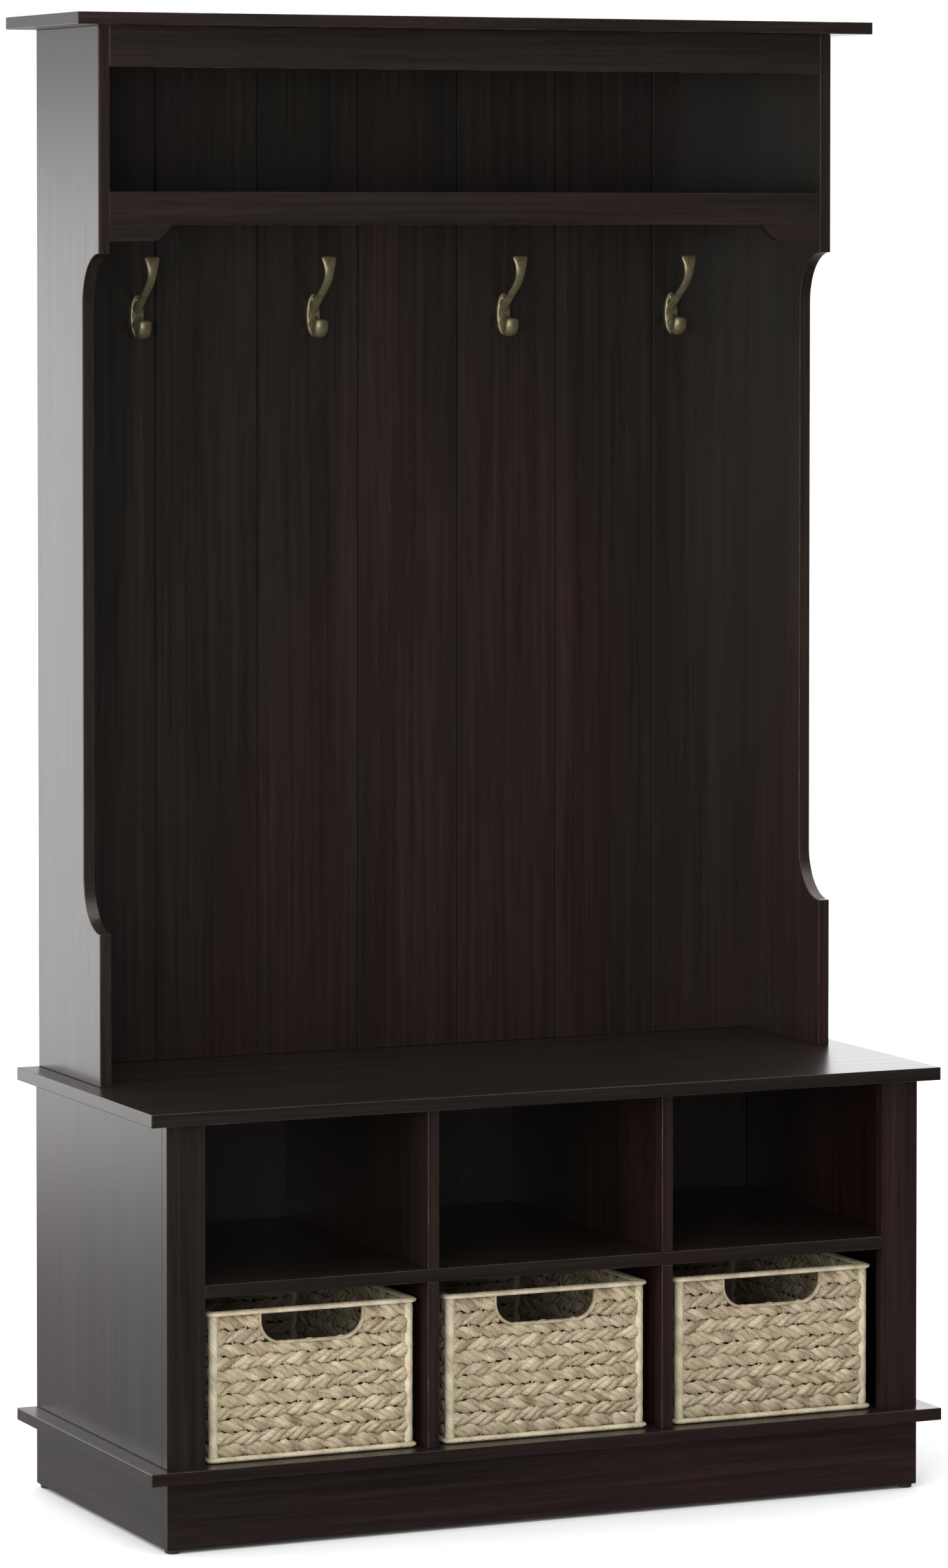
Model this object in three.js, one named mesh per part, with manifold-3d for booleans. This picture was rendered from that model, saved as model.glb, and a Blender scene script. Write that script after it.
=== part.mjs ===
// Hall tree with coat hooks: a bench with three open cubbies over three basket bays, and a hutch
// with a planked back, four double coat hooks and a high shelf. Millimetres, +Z up. The origin is
// on the floor under the middle of the object, its front faces -Y and its right side is +X.
import * as THREE from 'three';
import { mergeVertices } from 'three/addons/utils/BufferGeometryUtils.js';
import Module from 'manifold-3d';

const wasm = await Module();
wasm.setup();

// ---- driving dimensions ----
const TOTAL_HEIGHT = 1830;
const BOARD = 15;              // thickness of the ordinary boards
const CARCASS_WIDTH = 1000;    // over the bench's side panels
const CARCASS_DEPTH = 450;     // bench carcass, front plane to back plane
const BASE_OVERHANG = 26;      // base board past the side panels
const BASE_NOSE = 18;          // base board past the front plane
const GLIDE_HEIGHT = 5;
const GLIDE_RADIUS = 10;
const PLINTH_HEIGHT = 81;
const BENCH_TOP = 16;          // thickness of the seat board
const BENCH_HEIGHT = 527;      // floor to the top of the seat board
const BENCH_OVERHANG = 25;     // seat board past the side panels
const BENCH_NOSE = 16;         // seat board past the front plane
const STILE_WIDTH = 49;
const SHELF_THICK = 16;        // middle shelf of the bench
const SHELF_BOTTOM = 302;      // floor to the underside of the middle shelf
const DIVIDER_CENTRE = 156;    // dividers either side of the middle
const BENCH_BACK = 5;          // thickness of the bench's back panel

const HUTCH_WIDTH = 992;       // over the hutch's side panels
const HUTCH_DEPTH = 217;
const TOP_OVERHANG = 40;       // hutch top past the side panels
const TOP_NOSE = 38;           // hutch top past the hutch's front plane
const TOP_RAIL_HEIGHT = 50;
const HIGH_SHELF_TOP = 1614;   // floor to the top of the high shelf and its fascia
const FASCIA_MIDDLE = 40;      // fascia height along its middle
const FASCIA_END = 60;         // fascia height at its two ends
const FASCIA_END_WIDTH = 58;   // straight length of each deep end
const FASCIA_STEP = 22;        // width of the shaped step beside each deep end
const NOTCH_BOTTOM = 713;      // long shallow cut in the front edge of each hutch side
const NOTCH_TOP = 1539;
const NOTCH_DEPTH = 56;
const NOTCH_RISE = 64;         // height of the quarter curve at each end of the cut
const BACK_THICK = 12;
const PLANKS = 7;
const GROOVE_WIDTH = 4;
const GROOVE_DEPTH = 2.5;

const HOOK_XS = [-369, -131.5, 131.5, 369];
const HOOK_Z = 1460;           // middle of the hooks' back plates
const PLATE_WIDTH = 18;
const PLATE_HEIGHT = 54;
const PLATE_THICK = 4;
const SCREW_OFFSET = 20;       // screws above and below the middle of the plate
const SCREW_RADIUS = 3.4;
const SCREW_RISE = 1.8;

const BASKET_WIDTH = 274;
const BASKET_DEPTH = 380;
const BASKET_HEIGHT = 182;
const BASKET_SETBACK = 10;     // basket rim behind the front plane
const BRAID = 6.6;             // height of the rim and base braids
const BRAID_PROUD = 5;         // braids stand out past the woven wall
const WALL = 8;                // woven wall
const FLOOR_THICK = 6;         // woven bottom
const HANDLE_WIDTH = 130;
const HANDLE_HEIGHT = 34;
const HANDLE_CORNER = 26;
const GAP = 0.3;               // between pieces of a basket

// ---- derived positions ----
const FRONT = -(CARCASS_DEPTH + BASE_NOSE) / 2 + BASE_NOSE;   // bench front plane
const REAR = FRONT + CARCASS_DEPTH;
const HUTCH_FRONT = REAR - HUTCH_DEPTH;
const HALF = CARCASS_WIDTH / 2;
const INNER = HALF - BOARD;
const HUTCH_HALF = HUTCH_WIDTH / 2;
const HUTCH_INNER = HUTCH_HALF - BOARD;
const BASE_TOP = GLIDE_HEIGHT + PLINTH_HEIGHT + BOARD;
const BENCH_UNDER = BENCH_HEIGHT - BENCH_TOP;
const SHELF_TOP = SHELF_BOTTOM + SHELF_THICK;
const TOP_UNDER = TOTAL_HEIGHT - BOARD;
const WALL_FACE = REAR - BACK_THICK;    // face of the planked back
const BAY_CENTRE = (HALF - STILE_WIDTH + DIVIDER_CENTRE + BOARD / 2) / 2;

// ---- materials ----
const paint = (color, roughness, metalness = 0) =>
  new THREE.MeshStandardMaterial({ color, roughness, metalness });
const ESPRESSO = paint(0x2a201d, 0.42);
const BRASS = paint(0x9a8350, 0.36, 0.9);
const SEAGRASS = paint(0xb9aa86, 0.85);
const BRAID_STRAW = paint(0xd0c4a2, 0.8);
const GLIDE_PLASTIC = paint(0x2b2b2c, 0.55);

const group = new THREE.Group();

function add(name, geometry, material) {
  const mesh = new THREE.Mesh(geometry, material);
  mesh.name = name;
  group.add(mesh);
  return mesh;
}

// A board between two corners.
function board(name, [x0, x1], [y0, y1], [z0, z1], material = ESPRESSO) {
  const mesh = add(name, new THREE.BoxGeometry(x1 - x0, y1 - y0, z1 - z0), material);
  mesh.position.set((x0 + x1) / 2, (y0 + y1) / 2, (z0 + z1) / 2);
  return mesh;
}

// An outline drawn in plan, raised from z0 to z1.
function raised(shape, z0, z1, curveSegments = 6) {
  const geometry = new THREE.ExtrudeGeometry(shape, { depth: z1 - z0, bevelEnabled: false, curveSegments });
  geometry.translate(0, 0, z0);
  return geometry;
}

// An outline drawn in X and Z, made thick from y0 back to y1.
function upright(shape, y0, y1, curveSegments = 6) {
  const geometry = new THREE.ExtrudeGeometry(shape, { depth: y1 - y0, bevelEnabled: false, curveSegments });
  geometry.rotateX(Math.PI / 2);
  geometry.translate(0, y1, 0);
  return geometry;
}

// An outline drawn in Y and Z, made thick from x0 to x1.
function sideways(shape, x0, x1, curveSegments = 6) {
  const geometry = new THREE.ExtrudeGeometry(shape, { depth: x1 - x0, bevelEnabled: false, curveSegments });
  geometry.applyMatrix4(new THREE.Matrix4().set(
    0, 0, 1, x0,
    1, 0, 0, 0,
    0, 1, 0, 0,
    0, 0, 0, 1,
  ));
  return geometry;
}

function solid(geometry) {
  const bare = geometry.clone();
  bare.deleteAttribute('normal');
  bare.deleteAttribute('uv');
  const merged = mergeVertices(bare, 1e-4);
  return new wasm.Manifold(new wasm.Mesh({
    numProp: 3,
    vertProperties: new Float32Array(merged.attributes.position.array),
    triVerts: new Uint32Array(merged.index.array),
  }));
}

function surface(manifold) {
  const mesh = manifold.getMesh();
  const geometry = new THREE.BufferGeometry();
  geometry.setAttribute('position', new THREE.BufferAttribute(new Float32Array(mesh.vertProperties), 3));
  geometry.setIndex(new THREE.BufferAttribute(new Uint32Array(mesh.triVerts), 1));
  geometry.computeVertexNormals();
  return geometry;
}

// A rectangle with rounded corners about the origin.
function roundedRectangle(halfX, halfY, r) {
  const shape = new THREE.Shape();
  shape.moveTo(-halfX + r, -halfY);
  shape.lineTo(halfX - r, -halfY);
  shape.absarc(halfX - r, -halfY + r, r, -Math.PI / 2, 0);
  shape.lineTo(halfX, halfY - r);
  shape.absarc(halfX - r, halfY - r, r, 0, Math.PI / 2);
  shape.lineTo(-halfX + r, halfY);
  shape.absarc(-halfX + r, halfY - r, r, Math.PI / 2, Math.PI);
  shape.lineTo(-halfX, -halfY + r);
  shape.absarc(-halfX + r, -halfY + r, r, Math.PI, Math.PI * 1.5);
  return shape;
}

// ---- plinth, glides and base board ----
const plinthZ = [GLIDE_HEIGHT, GLIDE_HEIGHT + PLINTH_HEIGHT];
board('plinth_front', [-HALF, HALF], [FRONT, FRONT + BOARD], plinthZ);
board('plinth_back', [-INNER, INNER], [REAR - BOARD, REAR], plinthZ);
board('plinth_side_left', [-HALF, -INNER], [FRONT + BOARD, REAR], plinthZ);
board('plinth_side_right', [INNER, HALF], [FRONT + BOARD, REAR], plinthZ);

for (const [front, y] of [['front', FRONT + 11], ['rear', REAR - 11]]) {
  for (const [side, sign] of [['left', -1], ['right', 1]]) {
    const glide = new THREE.CylinderGeometry(GLIDE_RADIUS, GLIDE_RADIUS - 1.2, GLIDE_HEIGHT, 16);
    glide.rotateX(Math.PI / 2);
    add(`glide_${front}_${side}`, glide, GLIDE_PLASTIC).position.set(sign * (HALF - 11), y, GLIDE_HEIGHT / 2);
  }
}

board('base_board', [-HALF - BASE_OVERHANG, HALF + BASE_OVERHANG], [FRONT - BASE_NOSE, REAR],
  [BASE_TOP - BOARD, BASE_TOP]);

// ---- bench carcass ----
const carcassZ = [BASE_TOP, BENCH_UNDER];
board('bench_side_left', [-HALF, -INNER], [FRONT + BOARD, REAR], carcassZ);
board('bench_side_right', [INNER, HALF], [FRONT + BOARD, REAR], carcassZ);
board('face_stile_left', [-HALF, -HALF + STILE_WIDTH], [FRONT, FRONT + BOARD], carcassZ);
board('face_stile_right', [HALF - STILE_WIDTH, HALF], [FRONT, FRONT + BOARD], carcassZ);
board('bench_back_panel', [-INNER, INNER], [REAR - BENCH_BACK, REAR], carcassZ);

// The middle shelf comes forward between the stiles and is wider behind them.
const shelfPlan = new THREE.Shape();
const shelfRear = REAR - BENCH_BACK;
const betweenStiles = HALF - STILE_WIDTH;
shelfPlan.moveTo(-betweenStiles, FRONT);
shelfPlan.lineTo(betweenStiles, FRONT);
shelfPlan.lineTo(betweenStiles, FRONT + BOARD);
shelfPlan.lineTo(INNER, FRONT + BOARD);
shelfPlan.lineTo(INNER, shelfRear);
shelfPlan.lineTo(-INNER, shelfRear);
shelfPlan.lineTo(-INNER, FRONT + BOARD);
shelfPlan.lineTo(-betweenStiles, FRONT + BOARD);
add('middle_shelf', raised(shelfPlan, SHELF_BOTTOM, SHELF_TOP), ESPRESSO);

for (const [side, sign] of [['left', -1], ['right', 1]]) {
  const x = [sign * DIVIDER_CENTRE - BOARD / 2, sign * DIVIDER_CENTRE + BOARD / 2];
  board(`upper_divider_${side}`, x, [FRONT, shelfRear], [SHELF_TOP, BENCH_UNDER]);
  board(`lower_divider_${side}`, x, [FRONT, shelfRear], [BASE_TOP, SHELF_BOTTOM]);
}

board('bench_top', [-HALF - BENCH_OVERHANG, HALF + BENCH_OVERHANG], [FRONT - BENCH_NOSE, REAR],
  [BENCH_UNDER, BENCH_HEIGHT]);

// ---- hutch ----
// Each side has a long shallow cut in its front edge, with a quarter curve at either end.
const sideOutline = new THREE.Shape();
sideOutline.moveTo(HUTCH_FRONT, BENCH_HEIGHT);
sideOutline.lineTo(REAR, BENCH_HEIGHT);
sideOutline.lineTo(REAR, TOP_UNDER);
sideOutline.lineTo(HUTCH_FRONT, TOP_UNDER);
sideOutline.lineTo(HUTCH_FRONT, NOTCH_TOP);
sideOutline.absellipse(HUTCH_FRONT, NOTCH_TOP - NOTCH_RISE, NOTCH_DEPTH, NOTCH_RISE, Math.PI / 2, 0, true);
sideOutline.lineTo(HUTCH_FRONT + NOTCH_DEPTH, NOTCH_BOTTOM + NOTCH_RISE);
sideOutline.absellipse(HUTCH_FRONT, NOTCH_BOTTOM + NOTCH_RISE, NOTCH_DEPTH, NOTCH_RISE, 0, -Math.PI / 2, true);
sideOutline.closePath();
add('hutch_side_left', sideways(sideOutline, -HUTCH_HALF, -HUTCH_INNER, 12), ESPRESSO);
add('hutch_side_right', sideways(sideOutline, HUTCH_INNER, HUTCH_HALF, 12), ESPRESSO);

// One panel with vertical V grooves between its planks.
const backPlan = new THREE.Shape();
backPlan.moveTo(-HUTCH_INNER, REAR);
backPlan.lineTo(-HUTCH_INNER, WALL_FACE);
for (let i = 1; i < PLANKS; i += 1) {
  const x = -HUTCH_INNER + (2 * HUTCH_INNER * i) / PLANKS;
  backPlan.lineTo(x - GROOVE_WIDTH / 2, WALL_FACE);
  backPlan.lineTo(x, WALL_FACE + GROOVE_DEPTH);
  backPlan.lineTo(x + GROOVE_WIDTH / 2, WALL_FACE);
}
backPlan.lineTo(HUTCH_INNER, WALL_FACE);
backPlan.lineTo(HUTCH_INNER, REAR);
add('hutch_back_panel', raised(backPlan, BENCH_HEIGHT, TOP_UNDER), ESPRESSO);

const railDepth = [HUTCH_FRONT, HUTCH_FRONT + BOARD];
board('top_rail', [-HUTCH_INNER, HUTCH_INNER], railDepth, [TOP_UNDER - TOP_RAIL_HEIGHT, TOP_UNDER]);
board('high_shelf', [-HUTCH_INNER, HUTCH_INNER], [HUTCH_FRONT + BOARD, WALL_FACE], [HIGH_SHELF_TOP - BOARD, HIGH_SHELF_TOP]);

// The fascia is deeper at both ends, with a short shaped step down to them.
const fascia = new THREE.Shape();
const middleZ = HIGH_SHELF_TOP - FASCIA_MIDDLE;
const endZ = HIGH_SHELF_TOP - FASCIA_END;
const stepOuter = HUTCH_INNER - FASCIA_END_WIDTH;
const stepInner = stepOuter - FASCIA_STEP;
fascia.moveTo(-HUTCH_INNER, HIGH_SHELF_TOP);
fascia.lineTo(-HUTCH_INNER, endZ);
fascia.lineTo(-stepOuter, endZ);
fascia.quadraticCurveTo(-stepOuter + 12, endZ + 4, -stepInner, middleZ);
fascia.lineTo(stepInner, middleZ);
fascia.quadraticCurveTo(stepOuter - 12, endZ + 4, stepOuter, endZ);
fascia.lineTo(HUTCH_INNER, endZ);
fascia.lineTo(HUTCH_INNER, HIGH_SHELF_TOP);
add('shelf_fascia', upright(fascia, ...railDepth), ESPRESSO);

board('hutch_top', [-HUTCH_HALF - TOP_OVERHANG, HUTCH_HALF + TOP_OVERHANG], [HUTCH_FRONT - TOP_NOSE, REAR],
  [TOP_UNDER, TOTAL_HEIGHT]);

// ---- coat hooks ----
// Side view of the two prongs: u is the distance out from the plate's back and v the height.
const prongs = new THREE.Shape();
prongs.moveTo(2, -10);
prongs.splineThru([[9, -17], [14, -24.5], [21, -28], [30, -27], [37, -20], [39.5, -8]]
  .map(([u, v]) => new THREE.Vector2(u, v)));
prongs.splineThru([[36, -4], [32.5, -7]].map(([u, v]) => new THREE.Vector2(u, v)));
prongs.splineThru([[30.5, -15], [24, -19], [17.5, -14], [13, -6], [12.5, 2], [16, 9.5], [28, 20], [38, 28.5], [49, 38],
  [57.5, 49], [59.5, 61], [58, 73]].map(([u, v]) => new THREE.Vector2(u, v)));
prongs.splineThru([[54.5, 76], [50.5, 73]].map(([u, v]) => new THREE.Vector2(u, v)));
prongs.splineThru([[53.5, 62], [52, 53], [43.5, 43.5], [33, 34.5], [22, 26], [11.5, 16.5], [7, 12], [2, 9]]
  .map(([u, v]) => new THREE.Vector2(u, v)));
prongs.closePath();

// Front view of the same prongs: narrow along the middle, wide at both tips.
const spread = new THREE.Shape();
const widths = [[-30, 8], [-20, 9], [-8, 8], [0, 5.8], [20, 5.2], [45, 5.6], [60, 7.2], [70, 9.4], [74, 9], [77, 6]];
spread.moveTo(widths[0][1], widths[0][0]);
spread.splineThru(widths.slice(1).map(([z, half]) => new THREE.Vector2(half, z)));
spread.lineTo(-6, 77);
spread.splineThru(widths.slice(0, -1).reverse().map(([z, half]) => new THREE.Vector2(-half, z)));
spread.closePath();

const plate = roundedRectangle(PLATE_WIDTH / 2, PLATE_HEIGHT / 2, PLATE_WIDTH / 2 - 0.01);

function hookGeometry() {
  const side = sideways(prongs, -12, 12, 2);
  side.applyMatrix4(new THREE.Matrix4().makeScale(1, -1, 1));
  // Mirroring turns the faces inside out, so each triangle is wound the other way.
  const p = side.attributes.position;
  for (let i = 0; i < p.count; i += 3) {
    const a = [p.getX(i), p.getY(i), p.getZ(i)];
    p.setXYZ(i, p.getX(i + 1), p.getY(i + 1), p.getZ(i + 1));
    p.setXYZ(i + 1, ...a);
  }
  const front = upright(spread, -70, 2, 2);
  const base = upright(plate, -PLATE_THICK, 0, 6);
  return surface(solid(side).intersect(solid(front)).add(solid(base)));
}

HOOK_XS.forEach((x, i) => {
  const hook = new THREE.Group();
  hook.position.set(x, WALL_FACE, HOOK_Z);
  group.add(hook);
  const body = new THREE.Mesh(hookGeometry(), BRASS);
  body.name = `coat_hook_${i + 1}`;
  hook.add(body);
  for (const [place, sign] of [['upper', 1], ['lower', -1]]) {
    // A low domed head, its flat underside on the plate.
    const dome = new THREE.LatheGeometry([
      new THREE.Vector2(0, 0),
      new THREE.Vector2(SCREW_RADIUS, 0),
      new THREE.Vector2(SCREW_RADIUS, 0.5),
      new THREE.Vector2(SCREW_RADIUS * 0.7, SCREW_RISE * 0.8),
      new THREE.Vector2(0, SCREW_RISE),
    ], 12);
    const screw = new THREE.Mesh(dome, BRASS);
    screw.name = `hook_screw_${i + 1}_${place}`;
    screw.rotation.x = Math.PI;
    screw.position.set(0, -PLATE_THICK, sign * SCREW_OFFSET);
    hook.add(screw);
  }
});

// ---- woven baskets ----
const halfX = BASKET_WIDTH / 2;
const halfY = BASKET_DEPTH / 2;
const wallX = halfX - BRAID_PROUD;
const wallY = halfY - BRAID_PROUD;

// The woven walls, bottom and corner braids, open above, with a hand hole through the front.
function basketBody() {
  const floorZ = 3;
  const wallTop = BASKET_HEIGHT - BRAID - GAP;
  let body = solid(raised(roundedRectangle(wallX, wallY, 10), floorZ, wallTop, 3));
  for (const sx of [-1, 1]) {
    for (const sy of [-1, 1]) {
      const post = new THREE.CylinderGeometry(6, 6, wallTop - BRAID - GAP - 1, 10);
      post.rotateX(Math.PI / 2);
      post.translate(sx * (wallX - 3), sy * (wallY - 3), (wallTop + BRAID + GAP + 1) / 2);
      body = body.add(solid(post));
    }
  }
  const inside = raised(roundedRectangle(wallX - WALL, wallY - WALL, 6), floorZ + FLOOR_THICK, wallTop + 10, 3);
  const hole = new THREE.Shape();
  const w = HANDLE_WIDTH / 2;
  const low = wallTop - HANDLE_HEIGHT;
  hole.moveTo(-w, wallTop + 10);
  hole.lineTo(-w, low + HANDLE_CORNER);
  hole.absarc(-w + HANDLE_CORNER, low + HANDLE_CORNER, HANDLE_CORNER, Math.PI, Math.PI * 1.5);
  hole.lineTo(w - HANDLE_CORNER, low);
  hole.absarc(w - HANDLE_CORNER, low + HANDLE_CORNER, HANDLE_CORNER, -Math.PI / 2, 0);
  hole.lineTo(w, wallTop + 10);
  const handle = upright(hole, -halfY - 10, -wallY + WALL + 5, 5);
  return surface(body.subtract(solid(inside)).subtract(solid(handle)));
}

// A closed band of braid round the basket, between an outer and an inner rounded rectangle.
function braidRing(inset, z0, z1) {
  const ring = roundedRectangle(halfX - 1.5, halfY - 1.5, 12);
  const middle = roundedRectangle(halfX, halfY, 13);
  const hole = roundedRectangle(halfX - inset, halfY - inset, 8);
  const low = raised(ring, z0, z1, 3);
  const belt = raised(middle, z0 + 2, z1 - 2, 3);
  const cut = raised(hole, z0 - 5, z1 + 5, 3);
  return surface(solid(low).add(solid(belt)).subtract(solid(cut)));
}

[['left', -BAY_CENTRE], ['centre', 0], ['right', BAY_CENTRE]].forEach(([side, x]) => {
  const basket = new THREE.Group();
  basket.position.set(x, FRONT + BASKET_SETBACK + halfY, BASE_TOP);
  group.add(basket);
  const pieces = [
    ['body', basketBody(), SEAGRASS],
    ['rim', braidRing(BRAID_PROUD + WALL, BASKET_HEIGHT - BRAID, BASKET_HEIGHT), BRAID_STRAW],
    ['base_braid', braidRing(BRAID_PROUD - GAP, 0, BRAID), BRAID_STRAW],
  ];
  for (const [piece, geometry, material] of pieces) {
    const mesh = new THREE.Mesh(geometry, material);
    mesh.name = `basket_${side}_${piece}`;
    basket.add(mesh);
  }
});

export default group;
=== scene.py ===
import math

import bpy
import numpy as np
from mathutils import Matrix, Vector


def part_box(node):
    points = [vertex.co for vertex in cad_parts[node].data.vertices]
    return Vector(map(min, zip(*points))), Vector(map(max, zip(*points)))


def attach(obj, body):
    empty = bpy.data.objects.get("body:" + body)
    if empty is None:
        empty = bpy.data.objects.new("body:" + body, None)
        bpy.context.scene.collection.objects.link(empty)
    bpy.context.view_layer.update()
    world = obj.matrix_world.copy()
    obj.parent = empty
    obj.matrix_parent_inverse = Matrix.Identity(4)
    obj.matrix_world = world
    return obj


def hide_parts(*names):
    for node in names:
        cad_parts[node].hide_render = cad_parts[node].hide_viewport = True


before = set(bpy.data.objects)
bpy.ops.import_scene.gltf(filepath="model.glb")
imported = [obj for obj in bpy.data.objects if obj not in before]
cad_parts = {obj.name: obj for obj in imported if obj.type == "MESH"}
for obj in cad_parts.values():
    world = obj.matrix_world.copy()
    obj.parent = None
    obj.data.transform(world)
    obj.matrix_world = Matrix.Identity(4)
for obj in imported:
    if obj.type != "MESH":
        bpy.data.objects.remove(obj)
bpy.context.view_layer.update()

# ---- camera: front left, a little under the high shelf's height ----
CAMERA_PLACE = (-3.199, -7.196, 1.578)
CAMERA_YAW = math.radians(23.92)       # turned towards +X
CAMERA_PITCH = math.radians(-2.10)
CAMERA_LENS = 146.0
CAMERA_SHIFT = -0.21                   # keeps the upright edges nearly parallel


def make_camera():
    data = bpy.data.cameras.new("camera")
    data.lens = CAMERA_LENS
    data.shift_y = CAMERA_SHIFT
    data.clip_end = 200
    camera = bpy.data.objects.new("camera", data)
    camera.location = CAMERA_PLACE
    camera.rotation_euler = (math.pi / 2 + CAMERA_PITCH, 0, -CAMERA_YAW)
    bpy.context.scene.collection.objects.link(camera)
    bpy.context.scene.camera = camera


# ---- light, floor and tone ----
FRONT_GLOW = 0.11       # the studio's dim front, which the front faces mirror
REAR_GLOW = 0.86        # its brighter rear, which the sides mirror at a glancing angle
BELOW_GLOW = 0.46       # share of that under the horizon, where the sides' lower parts look
TOP_GLOW = 2.20         # overhead
FRONT_TO_REAR = (-0.15, 0.75)       # the view directions between which the studio turns from dim to bright
UNDER_HORIZON = (-0.14, -0.04)
OVERHEAD = (0.45, 0.75)
FLOOR_REACH = 40        # half the side of the floor
PAPER_DARK, PAPER_LIGHT = 0.86, 0.90

# Name, place, target, width and height in metres, and watts.
SOFTBOXES = [
    ("key", (-3.2, -3.9, 1.7), (0, 0, 0.7), (1.9, 1.9), 105),
    ("left_fill", (-4.6, -1.3, 1.2), (0, 0, 0.8), (1.5, 1.8), 95),
    ("camera_side", (-2.3, -4.9, 1.0), (0, 0, 0.7), (2.0, 1.6), 35),
    ("rear_left", (-2.25, 3.9, 0.765), (-0.5, 0.0, 0.765), (2.6, 1.90), 34),
    ("rear_right", (2.5, 4.4, 1.35), (0.5, 0.0, 1.0), (2.6, 1.6), 26),
]


def softbox(name, place, target, size, energy):
    data = bpy.data.lights.new(name, "AREA")
    data.shape = "RECTANGLE"
    data.size, data.size_y = size
    data.energy = energy
    light = bpy.data.objects.new(name, data)
    light.location = place
    light.rotation_euler = (Vector(target) - Vector(place)).to_track_quat("-Z", "Y").to_euler()
    light.visible_camera = False
    bpy.context.scene.collection.objects.link(light)


def make_world():
    """A white studio, bright behind and above the object and dim in front of it."""
    world = bpy.data.worlds.new("studio")
    bpy.context.scene.world = world
    world.use_nodes = True
    tree = world.node_tree
    tree.nodes.clear()
    link = tree.links.new
    split = tree.nodes.new("ShaderNodeSeparateXYZ")
    link(tree.nodes.new("ShaderNodeTexCoord").outputs["Generated"], split.inputs[0])

    def grade(axis, band, to_low, to_high):
        made = tree.nodes.new("ShaderNodeMapRange")
        link(split.outputs[axis], made.inputs["Value"])
        for name, value in (("From Min", band[0]), ("From Max", band[1]), ("To Min", to_low), ("To Max", to_high)):
            made.inputs[name].default_value = value
        return made.outputs[0]

    def join(operation, a, b):
        made = tree.nodes.new("ShaderNodeMath")
        made.operation = operation
        link(a, made.inputs[0])
        link(b, made.inputs[1])
        return made.outputs[0]

    depth = grade("Y", FRONT_TO_REAR, FRONT_GLOW, REAR_GLOW)
    ground = grade("Z", UNDER_HORIZON, BELOW_GLOW, 1.0)
    overhead = grade("Z", OVERHEAD, 0.0, TOP_GLOW)
    lighting = tree.nodes.new("ShaderNodeBackground")
    link(join("MAXIMUM", join("MULTIPLY", depth, ground), overhead), lighting.inputs["Strength"])
    lighting.inputs["Color"].default_value = (1, 1, 1, 1)
    white = tree.nodes.new("ShaderNodeBackground")
    white.inputs["Color"].default_value = (1, 1, 1, 1)
    mix = tree.nodes.new("ShaderNodeMixShader")
    link(tree.nodes.new("ShaderNodeLightPath").outputs["Is Camera Ray"], mix.inputs[0])
    link(lighting.outputs[0], mix.inputs[1])
    link(white.outputs[0], mix.inputs[2])
    link(mix.outputs[0], tree.nodes.new("ShaderNodeOutputWorld").inputs[0])


def make_floor():
    reach = FLOOR_REACH
    mesh = bpy.data.meshes.new("floor")
    mesh.from_pydata([(-reach, -reach, 0), (reach, -reach, 0), (reach, reach, 0), (-reach, reach, 0)],
                     [], [(0, 1, 2, 3)])
    floor = bpy.data.objects.new("floor", mesh)
    bpy.context.scene.collection.objects.link(floor)
    floor.visible_glossy = False        # the lacquer mirrors the studio, not the paper it stands on
    paper = Material("studio_paper", roughness=0.9)
    paper.set("Base Color", paper.ramp(paper.noise(3.0), [(0.3, (PAPER_DARK,) * 3), (0.7, (PAPER_LIGHT,) * 3)]))
    mesh.materials.append(paper.material)


def make_light():
    make_world()
    for name, place, target, size, energy in SOFTBOXES:
        softbox(name, place, target, size, energy)
    bpy.context.scene.view_settings.view_transform = "Standard"


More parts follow.
